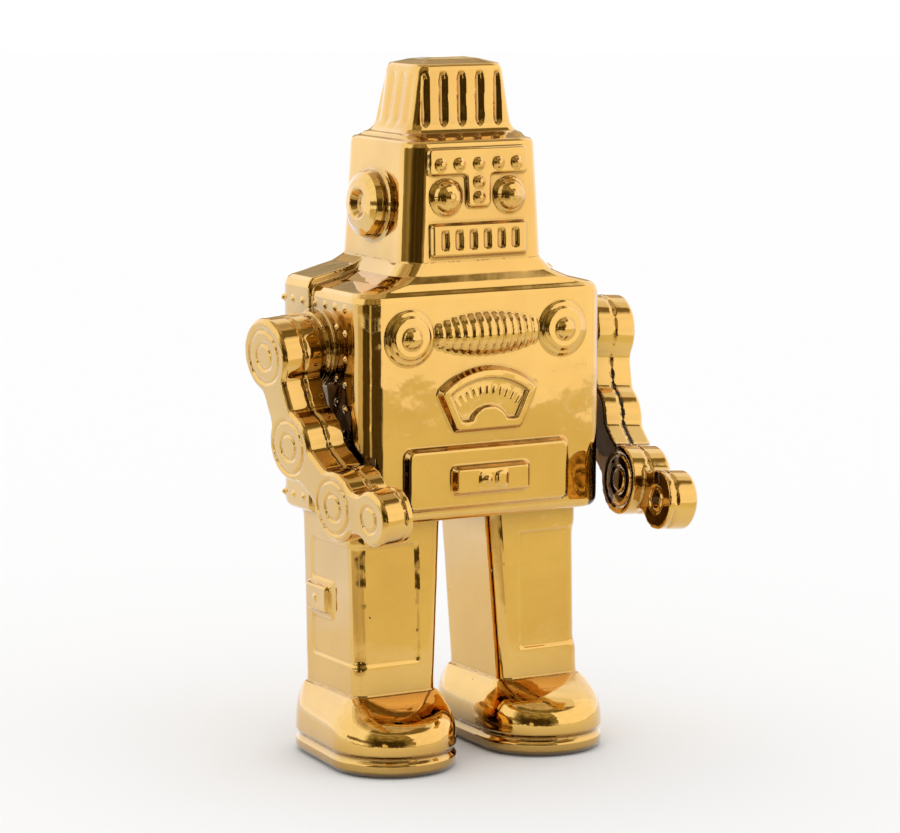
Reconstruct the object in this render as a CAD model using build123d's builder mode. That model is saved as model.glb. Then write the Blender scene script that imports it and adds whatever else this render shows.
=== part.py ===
from build123d import *
import os
from math import atan2, cos, degrees, hypot, radians, sin

# Toy-robot figure in hollow slip-cast porcelain, glazed all over.
#
# Every shell is cast by itself, has a spigot or a socket at each joint, and is luted (stuck
# with liquid clay) to its neighbour before it is fired.  Nothing on the figure moves.
# Frame: +Z up, the figure faces -Y, and its own left hand is on +X.  Millimetres, degrees.

os.makedirs("parts", exist_ok=True)

# --- casting and joints ---------------------------------------------------------------------
wall = 4.5                  # thickness of every cast shell
cavity_corner = 2.0         # corner radius inside a shell
lute = 0.15                 # thickness of the clay joint between two pieces
joint_ledge = 7.5           # seat left round a spigot
spigot_depth = 3.8          # how far a spigot reaches into its socket
spigot_corner = 4.0
vent_radius = 3.0           # air passage from one cast cavity to the next

# --- heights, from the floor up -------------------------------------------------------------
pad_proud = 0.8             # felt pad below the sole
shoe_height = 38.0
leg_height = 97.6
torso_height = 128.0        # up to the shoulder edge of the front half
shoulder_rise = 3.8         # shoulder edge to the foot of the collar
neck_height = 10.1          # foot of the collar to the underside of the head
head_height = 66.1
head_roof = 2.0             # head edge to the foot of the crown
crown_height = 38.6
crown_dome = 2.9            # how far the crown's top swells above its edge

# --- torso ----------------------------------------------------------------------------------
torso_width = 155.0
torso_depth = 96.0
torso_corner = 13.0
torso_edge = 6.0            # rounding of the shoulder edge
torso_foot_edge = 5.5       # rounding of the bottom edge
seam_y = 10.0               # parting plane: behind it the torso is one step larger
back_step = 2.0             # the step at the parting plane, on the sides
back_rise = 4.4             # the step at the parting plane, on the shoulders
collar_blend = 0.3          # share of the slopes taken by the hollow round the collar

# --- neck, head and crown: half width, front and back of each level ---------------------------
neck_foot = (53.2, -42.0, 45.6)
chin = (44.7, -38.7, 42.4)
brow = (41.5, -36.8, 40.2)
crown_foot = (33.9, -23.0, 25.1)
crown_top = (28.5, -21.7, 20.4)
crown_flare = 3.8           # how far the crown's foot runs out over the head's roof
crown_flare_height = 5.5
head_corner = 12.0
head_edge = 3.6
crown_corner = 8.0
crown_edge = 3.4
front_flutes = 5
front_flute_pitch = 11.5
front_flute_x = -1.5         # middle of the front flutes
side_flutes = 4
side_flute_pitch = 10.4
flute_width = 6.4
flute_depth = 1.9
flute_draft = 45.0
flute_overshoot = 0.5       # how far outside the face the flutes' cutter starts
flute_top_margin = 3.4      # plain band above the flutes
flute_foot_margin = 3.6     # plain band below the flutes

# --- legs: outer side, inner side, front and back of each end ---------------------------------
leg_top = (73.2, 15.0, -28.1, 34.4)
leg_foot = (72.5, 20.9, -32.1, 31.4)
leg_corner = 7.5
leg_panel_depth = 1.0       # shallow panel that wraps the outer front corner
leg_panel_inner_x = 32.4
leg_panel_back_y = 19.2
leg_panel_foot = 17.5       # above the ankle
leg_panel_top = 84.0        # above the ankle
latch_size = (25.0, 16.5)   # on the outer side: along Y and along Z
latch_thickness = 3.2
latch_corner = 2.0
latch_y = 10.0
latch_rise = 50.5           # above the ankle
latch_nub_radius = 2.2
latch_nub_height = 1.2

# --- shoes ----------------------------------------------------------------------------------
left_shoe_x = 45.8
left_shoe_y = -8.2
right_shoe_x = 49.4
right_shoe_y = -11.1
shoe_half_width = 36.0
shoe_half_length = 57.0
shoe_corner = 34.6          # at the welt; it tightens towards the ankle
left_toe_out = -1.5
right_toe_out = 5.3
shoe_collar = 1.7           # ledge of the shoe round the leg
welt_height = 9.6
welt_edge = 2.6
upper_bulge_height = 20.0   # where the upper starts to draw in, above the floor
pad_inset = 9.0
pad_thickness = 2.0
pad_hole_margin = 1.0       # felt left clear of the air passage in the sole

# --- arms: each lobe's y, its depth below the shoulder edge, and its radius ----------------------
left_arm_stand = 41.0       # outer face of the arm at the shoulder, from the torso's side
right_arm_stand = 34.2
shoulder_lobe = (1.5, 36.7, 20.9)
elbow_lobe = (-18.4, 83.9, 19.6)
wrist_lobe = (-59.8, 110.1, 19.5)
left_hand_lobe = (-93.9, 113.4, 16.6)
right_hand_lobe = (-93.9, 110.8, 15.4)
arm_cant = -12.3            # direction of the lean, from the line through the wrist
arm_splay = 6.4             # lean of the arm's plane, in towards the hand
left_arm_droop = 4.4        # how far each arm has sunk before the firing
right_arm_droop = 1.7
outer_plate = 13.2          # thickness of the arm's outer layer
plate_groove = 1.6          # width of the groove between the two layers
inner_plate = 10.2
groove_depth = 1.5
link_width = 23.0
waist_fillet = 6.0
arm_edge = 2.0
hand_relief = 6.5           # the hand's inner face is this much thinner than the arm
ring_radius = 14.6          # pressed rings on the shoulder, elbow and wrist
inner_ring_radius = 7.2
hand_ring_radius = 6.9
ring_width = 2.0
ring_depth = 1.2
seat_radius = 20.8          # round seat on the torso for the arm's boss
seat_proud = 2.9            # beyond the side of the torso's back half
boss_radius = 19.4
arm_spigot_radius = 8.0

# --- ears -----------------------------------------------------------------------------------
ear_z = 308.0
ear_y = 1.2
ear_foot_radius = 21.5
ear_neck_radius = 17.6
ear_neck_length = 3.0
ear_drum_radius = 18.9
ear_drum_side = 1.8         # straight part of the drum
ear_drum_length = 7.8
ear_dish_radius = 8.6
ear_dish_depth = 4.0
ear_spigot_radius = 8.0

# --- face, measured from the middle of the head's front ---------------------------------------
brow_bar = (62.4, 13.8)     # width and height of the T's bar
brow_bar_y = 21.3
brow_stem_width = 14.6
brow_stem_foot = -3.7
brow_corner = 2.5
brow_thickness = 2.0
rivet_radius = 3.1
rivet_dome_radius = 2.5
rivet_flange = 0.9
rivet_height = 2.6
brow_rivet_xs = (-24.0, -12.3, 0.0, 12.3, 24.0)
brow_rivet_y = 19.9
stem_rivet_ys = (10.0, 1.4)
eye_x = 20.0
eye_y = 2.2
eye_radius = 9.8
eye_flange = 1.3
eye_dome_radius = 8.3
eye_height = 6.2            # up to the pupil
pupil_radius = 2.7
pupil_ring = 0.7            # groove round the pupil
pupil_height = 1.3
mouth_size = (60.8, 18.7)
mouth_y = -21.6
mouth_thickness = 2.6
mouth_draft = 25.0
mouth_slot = (4.5, 11.2)
mouth_slots = 6
mouth_slot_pitch = 8.9
mouth_slot_depth = 1.6

# --- chest, measured from the middle of the torso's front -------------------------------------
knob_margin = 29.0          # from the torso's side to the middle of a knob
knob_y = 38.7
knob_radius = 15.2
knob_flange = 1.6
knob_step_radius = 12.6
knob_step = 3.4
knob_button_radius = 5.8
knob_height = 7.0
coil_y = 38.7
coil_half_length = 32.6
coil_half_height = 11.8     # at the middle, where it meets the chest
coil_end_half_height = 6.4
coil_proud = 7.2            # at the middle
coil_ribs = 13
coil_rib_depth = 1.3
gauge_foot_y = -14.8
gauge_foot_half = 21.4
gauge_shoulder_y = 7.9
gauge_shoulder_half = 32.0
gauge_top_y = 20.7
gauge_corner = 3.6
gauge_thickness = 4.2
gauge_rim = 6.0             # at the chest; the draft narrows it towards the front
gauge_draft = 25.0
arch_half_width = 11.4      # arched part of the rim below the dial
arch_height = 7.6
dial_thickness = 1.8
tick_count = 11
tick_size = (0.9, 4.6)
tick_height = 0.7
tick_radius = 33.0
tick_span = 72.0
hatch_size = (104.0, 35.0)
hatch_y = -39.6
hatch_thickness = 4.0
hatch_corner = 5.0
hatch_draft = 25.0
box_size = (49.0, 16.5)
box_y = -40.9
box_thickness = 4.2
box_corner = 3.0
box_draft = 25.0
clasp_size = (17.0, 9.6)
clasp_thickness = 0.6
clasp_corner = 2.5
clasp_tab = (7.5, 9.0)
clasp_tab_x = 4.6
clasp_tab_height = 1.8
clasp_button_x = -4.2
clasp_button_radius = 2.6
clasp_button_height = 2.4

# --- side rivets ----------------------------------------------------------------------------
side_rivet_radius = 1.9
side_rivet_height = 1.5
side_rivet_draft = 30.0
side_rivet_facets = 10
side_rivet_gap = 0.4         # least distance from the arm's seat
side_rivet_top = 9.8        # below the shoulder edge
side_rivet_foot = 8.8       # above the bottom edge
side_rivet_front = 19.9     # behind the torso's front
side_rivet_pitch = 11.2
side_rivet_row = 7
front_column = 9            # rivets in the front column, the two at its ends included
second_column = 9.4         # behind the first
second_column_drop = 11.0
second_column_rivets = 6

# --- levels and planes worked out from the sizes ----------------------------------------------
sole_z = pad_proud
ankle_z = sole_z + shoe_height
hip_z = ankle_z + leg_height
shoulder_z = hip_z + torso_height
neck_z = shoulder_z + shoulder_rise
chin_z = neck_z + neck_height
brow_z = chin_z + head_height
crown_z = brow_z + head_roof
top_z = crown_z + crown_height
torso_front = -torso_depth / 2
torso_back = torso_depth / 2
torso_side = torso_width / 2
chest = Plane((0, torso_front, hip_z + torso_height / 2), x_dir=(1, 0, 0), z_dir=(0, -1, 0))
side_names = {1: "left", -1: "right"}
arm_outer_x = {1: torso_side + left_arm_stand, -1: torso_side + right_arm_stand}
arm_droop = {1: left_arm_droop, -1: right_arm_droop}
shoe_x = {1: left_shoe_x, -1: right_shoe_x}
shoe_y = {1: left_shoe_y, -1: right_shoe_y}
shoe_toe_out = {1: left_toe_out, -1: right_toe_out}
knob_x = torso_side - knob_margin
pieces = []


# --- shared forms ---------------------------------------------------------------------------
def level(dims, z, corner):
    """Limits of a rounded rectangle centred on the figure: x, y, height and corner."""
    half_width, front, back = dims
    return (-half_width, half_width, front, back, z, corner)


def rounded(limits, inset=0.0, lift=0.0):
    """The rounded rectangle itself, drawn in by inset and raised by lift."""
    x_min, x_max, y_min, y_max, z, corner = limits
    with BuildSketch(Plane.XY.offset(z + lift)) as outline:
        with Locations(((x_min + x_max) / 2, (y_min + y_max) / 2)):
            RectangleRounded(x_max - x_min - 2 * inset, y_max - y_min - 2 * inset, corner)
    return outline.sketch.face()


def shrunk(dims, amount):
    """Half width, front and back drawn in by amount."""
    half_width, front, back = dims
    return (half_width - amount, front + amount, back - amount)


def between(low, high, share):
    """Half width, front and back at a share of the way from low to high."""
    return tuple(start + (end - start) * share for start, end in zip(low, high))


def rim(dims, z, corner, radius):
    """Levels that round off a top edge: they draw in as they rise to z."""
    turns = [radians(turn) for turn in (0, 30, 60, 90)]
    return [level(shrunk(dims, radius * (1 - cos(turn))), z - radius * (1 - sin(turn)), corner)
            for turn in turns]


def casting(levels):
    """Solid with straight walls through the rounded rectangles."""
    with BuildPart() as form:
        loft([rounded(limits) for limits in levels], ruled=True)
    return form.part


def cavity(levels):
    """The hollow that leaves a wall inside the casting of these levels."""
    low = (*levels[0][:5], cavity_corner)
    others = [(*limits[:5], cavity_corner) for limits in levels[1:]]
    sections = [rounded(low, wall, wall)] + [rounded(limits, wall, -wall) for limits in others]
    with BuildPart() as hollow:
        loft(sections, ruled=True)
    return hollow.part


def spigot(limits):
    """Spigot that stands on this level."""
    with BuildPart() as tenon:
        extrude(rounded((*limits[:5], spigot_corner), joint_ledge), amount=spigot_depth)
    return tenon.part


def socket(limits):
    """Opening in the wall above this level that takes the spigot from below."""
    with BuildPart() as mortise:
        extrude(rounded((*limits[:5], spigot_corner), joint_ledge - lute), amount=wall + lute)
    return mortise.part


def vent(limits):
    """Air passage through the closed top below this level and its spigot."""
    x_min, x_max, y_min, y_max, z, _ = limits
    with BuildPart() as passage:
        with Locations(((x_min + x_max) / 2, (y_min + y_max) / 2, z - wall - lute)):
            Cylinder(vent_radius, wall + spigot_depth + 2 * lute,
                     align=(Align.CENTER, Align.CENTER, Align.MIN))
    return passage.part


def edges_at(form, z):
    """Edges of a form that lie flat at height z."""
    return form.edges().filter_by_position(Axis.Z, z, z)


def front_plane(foot, foot_z, top, top_z):
    """Plane on a sloping front at mid height, with x to the figure's left and z outward."""
    low, high = Vector(0, foot[1], foot_z), Vector(0, top[1], top_z)
    return Plane((low + high) / 2, x_dir=(1, 0, 0), z_dir=Vector(1, 0, 0).cross(high - low))


def side_plane(foot_x, foot_z, top_x, top_z, side):
    """Plane on a sloping side at mid height, where y is 0, with z outward."""
    low, high = Vector(side * foot_x, 0, foot_z), Vector(side * top_x, 0, top_z)
    across = Vector(0, side, 0)
    return Plane((low + high) / 2, x_dir=across, z_dir=across.cross(high - low))


def moved_plane(plane, x, y):
    """The same plane with its origin at x, y on it."""
    return Plane(plane.from_local_coords((x, y, 0)), x_dir=plane.x_dir, z_dir=plane.z_dir)


def turned(seat, outline):
    """Solid turned about the seat's axis; outline gives (radius, height) points from its foot."""
    profile = Plane(seat.origin, x_dir=seat.x_dir, z_dir=seat.x_dir.cross(seat.z_dir))
    with BuildPart() as body:
        with BuildSketch(profile):
            with BuildLine():
                Polyline(*outline, close=True)
            make_face()
        revolve(axis=Axis(seat.origin, seat.z_dir))
    return body.part


def dome_points(radius, foot, height, steps=4):
    """Points of a dome of this radius, from its foot up to its crown on the axis."""
    turns = [step * 90 / steps for step in range(steps + 1)]
    return [(radius * cos(radians(turn)), foot + height * sin(radians(turn))) for turn in turns]


def finished(part, label):
    """Names a piece and keeps it for the export."""
    part.label = label
    pieces.append(part)


# --- where the arms sit: outer face, with x along the arm and z outward -------------------------
arm_run = Vector(0, wrist_lobe[0] - shoulder_lobe[0], shoulder_lobe[1] - wrist_lobe[1])
arm_way = arm_run.rotate(Axis.X, arm_cant).normalized()
arm_thickness = outer_plate + plate_groove + inner_plate
seat_x = torso_side + back_step + seat_proud


def seat_distance(side):
    """How far the torso's seat lies behind the arm's outer face."""
    return (arm_outer_x[side] - seat_x) / cos(radians(arm_splay))


def arm_plane(side):
    """Plane of one arm's outer face."""
    outward = Vector(side * cos(radians(arm_splay)), 0, 0) + arm_way * sin(radians(arm_splay))
    along = arm_way * cos(radians(arm_splay)) - Vector(side * sin(radians(arm_splay)), 0, 0)
    along = along.rotate(Axis((0, 0, 0), outward), side * arm_droop[side])
    shoulder = (side * arm_outer_x[side], shoulder_lobe[0], shoulder_z - shoulder_lobe[1])
    return Plane(shoulder, x_dir=along, z_dir=outward)


def seat_plane(side):
    """Plane of the torso's seat for an arm."""
    return arm_plane(side).offset(-seat_distance(side))


def lobe_centre(lobe, side):
    """Centre of a lobe on the arm's plane."""
    step = Vector(0, lobe[0] - shoulder_lobe[0], shoulder_lobe[1] - lobe[1])
    along = step.dot(arm_way) / cos(radians(arm_splay))
    across = side * (step.Z * arm_way.Y - step.Y * arm_way.Z)
    return Vector(along, across)


def ear_plane(side):
    """Plane of an ear's foot, on the sloping side of the head."""
    cheek = side_plane(chin[0], chin_z, brow[0], brow_z, side)
    return moved_plane(cheek, side * ear_y, ear_z - cheek.origin.Z)


# === torso ==================================================================================
def torso_half(step, rise, keep):
    """Outside of one half: block, sloping shoulders and collar; step and rise make it larger."""
    plan = (torso_side + step, torso_front, torso_back)
    edge_z = shoulder_z + rise
    collar_z = edge_z + shoulder_rise
    levels = [level(plan, hip_z, torso_corner)]
    levels += rim(plan, edge_z, torso_corner, torso_edge)[:-1]
    levels.append(level(between(plan, neck_foot, 1 - collar_blend),
                        collar_z - shoulder_rise * collar_blend, torso_corner))
    levels.append(level(between(neck_foot, chin, collar_blend),
                        collar_z + (chin_z - collar_z) * collar_blend, head_corner))
    levels.append(level(chin, chin_z, head_corner))
    with BuildPart() as half:
        add(casting(levels))
        fillet(edges_at(half, hip_z), torso_foot_edge)
        split(bisect_by=Plane.XZ.offset(-seam_y), keep=keep)
    return half.part


def torso_hollow(step, rise, keep):
    """Cavity of one half, with the step a wall's thickness behind the outer one."""
    plan = (torso_side + step, torso_front, torso_back)
    levels = [level(plan, hip_z, torso_corner), level(plan, shoulder_z + rise, torso_corner),
              level(neck_foot, neck_z + rise, head_corner), level(chin, chin_z, head_corner)]
    with BuildPart() as half:
        add(cavity(levels))
        split(bisect_by=Plane.XZ.offset(-(seam_y + wall)), keep=keep)
    return half.part


def leg_level(dims, z, side):
    """Limits of one leg at height z."""
    outer, inner, front, back = dims
    x_min, x_max = sorted((side * outer, side * inner))
    return (x_min, x_max, front, back, z, leg_corner)


torso_outside = [torso_half(0, 0, Keep.TOP), torso_half(back_step, back_rise, Keep.BOTTOM)]
torso_inside = [torso_hollow(0, 0, Keep.TOP), torso_hollow(back_step, back_rise, Keep.BOTTOM)]
neck_level = level(chin, chin_z, head_corner)
with BuildPart() as torso_shell:
    add(torso_outside)
    for side in side_names:
        with BuildSketch(seat_plane(side)):
            Circle(seat_radius)
        extrude(amount=-(seat_proud + back_step + wall))
    add(torso_inside, mode=Mode.SUBTRACT)
    add(spigot(neck_level))
    add(vent(neck_level), mode=Mode.SUBTRACT)
    for side in side_names:
        add(socket(leg_level(leg_top, hip_z, side)), mode=Mode.SUBTRACT)
        with BuildSketch(seat_plane(side)):
            Circle(arm_spigot_radius + lute)
        extrude(amount=-3 * wall, mode=Mode.SUBTRACT)
finished(torso_shell.part, "torso_shell")


# === head ===================================================================================
roof_level = level(shrunk(crown_foot, -crown_flare), crown_z, crown_corner)
crown_level = level(crown_foot, crown_z, crown_corner)
with BuildPart() as head_shell:
    add(casting([neck_level, *rim(brow, brow_z, head_corner, head_edge), roof_level]))
    add(cavity([neck_level, level(brow, brow_z, head_corner), roof_level]), mode=Mode.SUBTRACT)
    add(socket(neck_level), mode=Mode.SUBTRACT)
    add(spigot(crown_level))
    add(vent(crown_level), mode=Mode.SUBTRACT)
    for side in side_names:
        with BuildSketch(ear_plane(side)):
            Circle(ear_spigot_radius + lute)
        extrude(amount=-2 * wall, mode=Mode.SUBTRACT)
finished(head_shell.part, "head_shell")


# === crown ==================================================================================
def crown_foot_levels():
    """Levels of the hollow curve that spreads the crown's foot over the head's roof."""
    levels = []
    for turn in (0, 30, 60, 90):
        height = crown_flare_height * (1 - cos(radians(turn)))
        plain = between(crown_foot, crown_top, height / (crown_height - crown_edge))
        flared = shrunk(plain, -crown_flare * (1 - sin(radians(turn))))
        levels.append(level(flared, crown_z + height, crown_corner))
    return levels


def crown_top_levels():
    """Levels of the low dome inside the crown's rounded top edge."""
    half_depth = (crown_top[2] - crown_top[1]) / 2
    return [level(shrunk(crown_top, crown_edge + share * (half_depth - crown_edge)),
                  top_z + crown_dome * (1 - (1 - share) ** 2), crown_corner * (1 - share))
            for share in (0.4, 0.8)]


def flutes(face, middle, count, pitch):
    """A row of tapered flutes across one face of the crown."""
    flute_length = crown_height - flute_top_margin - flute_foot_margin
    rise = (flute_foot_margin + crown_edge - flute_top_margin) / 2
    with BuildPart() as row:
        with BuildSketch(moved_plane(face, middle, rise).offset(flute_overshoot)):
            with GridLocations(pitch, 0, count, 1):
                SlotOverall(flute_length, flute_width, rotation=90)
        extrude(amount=-flute_overshoot - flute_depth, taper=flute_draft)
    return row.part


crown_middle = (crown_foot[1] + crown_foot[2] + crown_top[1] + crown_top[2]) / 4
crown_edge_z = top_z - crown_edge
crown_face = front_plane(crown_foot, crown_z, crown_top, crown_edge_z)
with BuildPart() as crown_cap:
    add(casting([*crown_foot_levels(), *rim(crown_top, top_z, crown_corner, crown_edge),
                 *crown_top_levels()]))
    add(flutes(crown_face, front_flute_x, front_flutes, front_flute_pitch), mode=Mode.SUBTRACT)
    for side in side_names:
        temple = side_plane(crown_foot[0], crown_z, crown_top[0], crown_edge_z, side)
        add(flutes(temple, side * crown_middle, side_flutes, side_flute_pitch), mode=Mode.SUBTRACT)
    add(cavity([crown_level, level(crown_top, top_z, crown_corner)]), mode=Mode.SUBTRACT)
    add(socket(crown_level), mode=Mode.SUBTRACT)
finished(crown_cap.part, "crown_cap")


# === ears ===================================================================================
ear_shoulder = ear_neck_length + ear_drum_side
ear_top = ear_neck_length + ear_drum_length
ear_turns = [radians(turn) for turn in (0, 30, 60, 90)]
ear_hollow = [(ear_foot_radius - (ear_foot_radius - ear_neck_radius) * sin(turn),
               ear_neck_length * (1 - cos(turn))) for turn in ear_turns]
ear_round = [(ear_dish_radius + (ear_drum_radius - ear_dish_radius) * cos(turn),
              ear_shoulder + (ear_top - ear_shoulder) * sin(turn)) for turn in ear_turns]
ear_outline = [(0, -wall), (ear_spigot_radius, -wall), (ear_spigot_radius, 0), *ear_hollow,
               (ear_drum_radius, ear_neck_length), *ear_round,
               (ear_dish_radius * 0.6, ear_top - ear_dish_depth), (0, ear_top - ear_dish_depth)]
for side in side_names:
    finished(turned(ear_plane(side), ear_outline), f"ear_{side_names[side]}")


# === face ===================================================================================
face = front_plane(chin, chin_z, brow, brow_z)
stem_top = brow_bar_y - brow_bar[1] / 2
stem_height = stem_top - brow_stem_foot
with BuildPart() as brow_plate:
    with BuildSketch(face) as tee:
        with Locations((0, brow_bar_y)):
            Rectangle(*brow_bar)
        with Locations((0, stem_top)):
            Rectangle(brow_stem_width, stem_height, align=(Align.CENTER, Align.MAX))
        fillet(tee.vertices(), brow_corner)
    extrude(amount=brow_thickness)
finished(brow_plate.part, "brow_plate")

rivet_outline = [(0, 0), (rivet_radius, 0), (rivet_radius, rivet_flange),
                 *dome_points(rivet_dome_radius, rivet_flange, rivet_height - rivet_flange, 3)]
rivet_places = [(x, brow_rivet_y) for x in brow_rivet_xs] + [(0, y) for y in stem_rivet_ys]
brow_rivet = turned(Plane.XY, rivet_outline)
with BuildPart(face.offset(brow_thickness)) as brow_rivets:
    with Locations(*rivet_places):
        add(brow_rivet)
finished(brow_rivets.part, "brow_rivets")

eye_dome = [point for point in dome_points(eye_dome_radius, eye_flange, eye_height - eye_flange, 6)
            if point[0] > pupil_radius + pupil_ring]
eye_outline = [(0, 0), (eye_radius, 0), (eye_radius, eye_flange), *eye_dome,
               (pupil_radius + pupil_ring / 2, eye_height - pupil_ring),
               *dome_points(pupil_radius, eye_height, pupil_height, 3)]
for side in side_names:
    finished(turned(moved_plane(face, side * eye_x, eye_y), eye_outline), f"eye_{side_names[side]}")

with BuildPart() as mouth_grille:
    with BuildSketch(moved_plane(face, 0, mouth_y)):
        Rectangle(*mouth_size)
    extrude(amount=mouth_thickness, taper=mouth_draft)
    with BuildSketch(moved_plane(face, 0, mouth_y).offset(mouth_thickness)):
        with GridLocations(mouth_slot_pitch, 0, mouth_slots, 1):
            Rectangle(*mouth_slot)
    extrude(amount=-mouth_slot_depth, taper=mouth_draft, mode=Mode.SUBTRACT)
finished(mouth_grille.part, "mouth_grille")


# === chest ==================================================================================
knob_outline = [(0, 0), (knob_radius, 0), (knob_radius - knob_flange / 2, knob_flange),
                (knob_step_radius, knob_flange), (knob_step_radius - knob_step / 2, knob_step),
                (knob_button_radius, knob_step),
                *dome_points(knob_button_radius, knob_step, knob_height - knob_step, 4)[1:]]
for side in side_names:
    knob_seat = moved_plane(chest, side * knob_x, knob_y)
    finished(turned(knob_seat, knob_outline), f"chest_knob_{side_names[side]}")

# The coil is a ribbed barrel whose axis lies behind the chest, so that less than half shows.
coil_radius = (coil_half_height ** 2 + coil_proud ** 2) / (2 * coil_proud)
coil_sink = coil_radius - coil_proud
coil_end_radius = hypot(coil_end_half_height, coil_sink)
rib_pitch = 2 * coil_half_length / coil_ribs


def barrel(x):
    """Radius of the barrel at x from its middle."""
    return coil_radius - (coil_radius - coil_end_radius) * (x / coil_half_length) ** 2


coil_outline = [(-coil_half_length, 0)]
for rib in range(coil_ribs):
    rib_start = -coil_half_length + rib * rib_pitch
    coil_outline.append((rib_start, barrel(rib_start) - coil_rib_depth))
    for share in (0.25, 0.75):
        rib_x = rib_start + share * rib_pitch
        coil_outline.append((rib_x, barrel(rib_x)))
coil_outline.append((coil_half_length, coil_end_radius - coil_rib_depth))
coil_outline.append((coil_half_length, 0))
coil_axis = moved_plane(chest, 0, coil_y).offset(-coil_sink)
with BuildPart() as chest_coil:
    with BuildSketch(coil_axis):
        with BuildLine():
            Polyline(*coil_outline, close=True)
        make_face()
    revolve(axis=Axis(coil_axis.origin, coil_axis.x_dir))
    split(bisect_by=chest, keep=Keep.TOP)
finished(chest_coil.part, "chest_coil")


def fan(inset):
    """Outline of the gauge, drawn in by inset."""
    with BuildSketch() as outline:
        with BuildLine():
            Polyline((-gauge_shoulder_half, gauge_shoulder_y), (-gauge_foot_half, gauge_foot_y),
                     (gauge_foot_half, gauge_foot_y), (gauge_shoulder_half, gauge_shoulder_y))
            ThreePointArc((gauge_shoulder_half, gauge_shoulder_y), (0, gauge_top_y),
                          (-gauge_shoulder_half, gauge_shoulder_y))
        make_face()
        fillet(outline.vertices(), gauge_corner)
        if inset:
            offset(amount=-inset)
    return outline.sketch


def dial_window(gap):
    """Opening of the gauge with the arch at its foot, drawn in by gap."""
    arch_radius = (arch_half_width ** 2 + arch_height ** 2) / (2 * arch_height)
    with BuildSketch() as window:
        add(fan(gauge_rim + gap))
        with Locations((0, gauge_foot_y + gauge_rim + arch_height - arch_radius)):
            Circle(arch_radius + gap, mode=Mode.SUBTRACT)
    return window.sketch


gauge_rise = gauge_top_y - gauge_shoulder_y
gauge_radius = (gauge_shoulder_half ** 2 + gauge_rise ** 2) / (2 * gauge_rise)
with BuildPart() as gauge_bezel:
    with BuildSketch(chest):
        add(fan(0))
    extrude(amount=gauge_thickness, taper=gauge_draft)
    with BuildSketch(chest):
        add(dial_window(0))
    extrude(amount=gauge_thickness, mode=Mode.SUBTRACT)
finished(gauge_bezel.part, "gauge_bezel")

with BuildPart() as gauge_dial:
    with BuildSketch(chest):
        add(dial_window(lute))
    extrude(amount=dial_thickness)
    with BuildSketch(moved_plane(chest, 0, gauge_top_y - gauge_radius).offset(dial_thickness)):
        with PolarLocations(tick_radius, tick_count, start_angle=90 - tick_span / 2,
                            angular_range=tick_span, endpoint=True):
            Rectangle(tick_size[1], tick_size[0])
    extrude(amount=tick_height)
finished(gauge_dial.part, "gauge_dial")

hatch_seat = moved_plane(chest, 0, hatch_y)
with BuildPart() as hatch_panel:
    with BuildSketch(hatch_seat):
        RectangleRounded(*hatch_size, hatch_corner)
    extrude(amount=hatch_thickness, taper=hatch_draft)
finished(hatch_panel.part, "hatch_panel")

box_seat = moved_plane(chest, 0, box_y).offset(hatch_thickness)
with BuildPart() as hatch_box:
    with BuildSketch(box_seat):
        RectangleRounded(*box_size, box_corner)
    extrude(amount=box_thickness, taper=box_draft)
finished(hatch_box.part, "hatch_box")

latch_seat = box_seat.offset(box_thickness)
with BuildPart() as hatch_latch:
    with BuildSketch(latch_seat):
        RectangleRounded(*clasp_size, clasp_corner)
    extrude(amount=clasp_thickness)
    with BuildSketch(moved_plane(latch_seat, clasp_tab_x, 0)):
        RectangleRounded(*clasp_tab, clasp_corner)
    extrude(amount=clasp_tab_height, taper=box_draft)
    add(turned(moved_plane(latch_seat, clasp_button_x, 0),
               [(0, 0), *dome_points(clasp_button_radius, 0, clasp_button_height, 3)]))
finished(hatch_latch.part, "hatch_latch")


# === rivets on the torso's sides ==============================================================
row_ys = [torso_front + side_rivet_front + side_rivet_pitch * n for n in range(side_rivet_row)]
row_zs = (shoulder_z - side_rivet_top, hip_z + side_rivet_foot)
column_pitch = (row_zs[0] - row_zs[1]) / (front_column - 1)
column_y = row_ys[0] + second_column
rivet_spots = [(y, z) for z in row_zs for y in row_ys]
rivet_spots += [(row_ys[0], row_zs[1] + column_pitch * n) for n in range(1, front_column - 1)]
rivet_spots += [(column_y, row_zs[0] - second_column_drop - column_pitch * n)
                for n in range(second_column_rivets)]
seat_clear = seat_radius + side_rivet_radius + side_rivet_gap
seat_spot = (shoulder_lobe[0], shoulder_z - shoulder_lobe[1])
rivet_spots = [spot for spot in rivet_spots
               if hypot(spot[0] - seat_spot[0], spot[1] - seat_spot[1]) > seat_clear]
for side in side_names:
    with BuildPart() as side_rivets:
        for rivet_y, rivet_z in rivet_spots:
            rivet_x = torso_side + (back_step if rivet_y > seam_y else 0)
            with BuildSketch(Plane((side * rivet_x, rivet_y, rivet_z), z_dir=(side, 0, 0))):
                RegularPolygon(side_rivet_radius, side_rivet_facets)
        extrude(amount=side_rivet_height, taper=side_rivet_draft)
    finished(side_rivets.part, f"side_rivets_{side_names[side]}")


# === arms ===================================================================================
lobes = (shoulder_lobe, elbow_lobe, wrist_lobe)
hand_lobe = {1: left_hand_lobe, -1: right_hand_lobe}


def arm_outline(side, links, inset):
    """Lobes joined by straight links, drawn in by inset; the hand is left out of 2 links."""
    chain = (*lobes, hand_lobe[side])[:links + 1]
    centres = [lobe_centre(lobe, side) for lobe in chain]
    with BuildSketch() as outline:
        for lobe, centre in zip(chain, centres):
            with Locations(centre):
                Circle(lobe[2])
        for start, end in zip(centres, centres[1:]):
            run = end - start
            with Locations((start + end) / 2):
                Rectangle(run.length, link_width, rotation=degrees(atan2(run.Y, run.X)))
        fillet(outline.vertices(), waist_fillet)
        if inset:
            offset(amount=-inset)
    return outline.sketch


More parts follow.
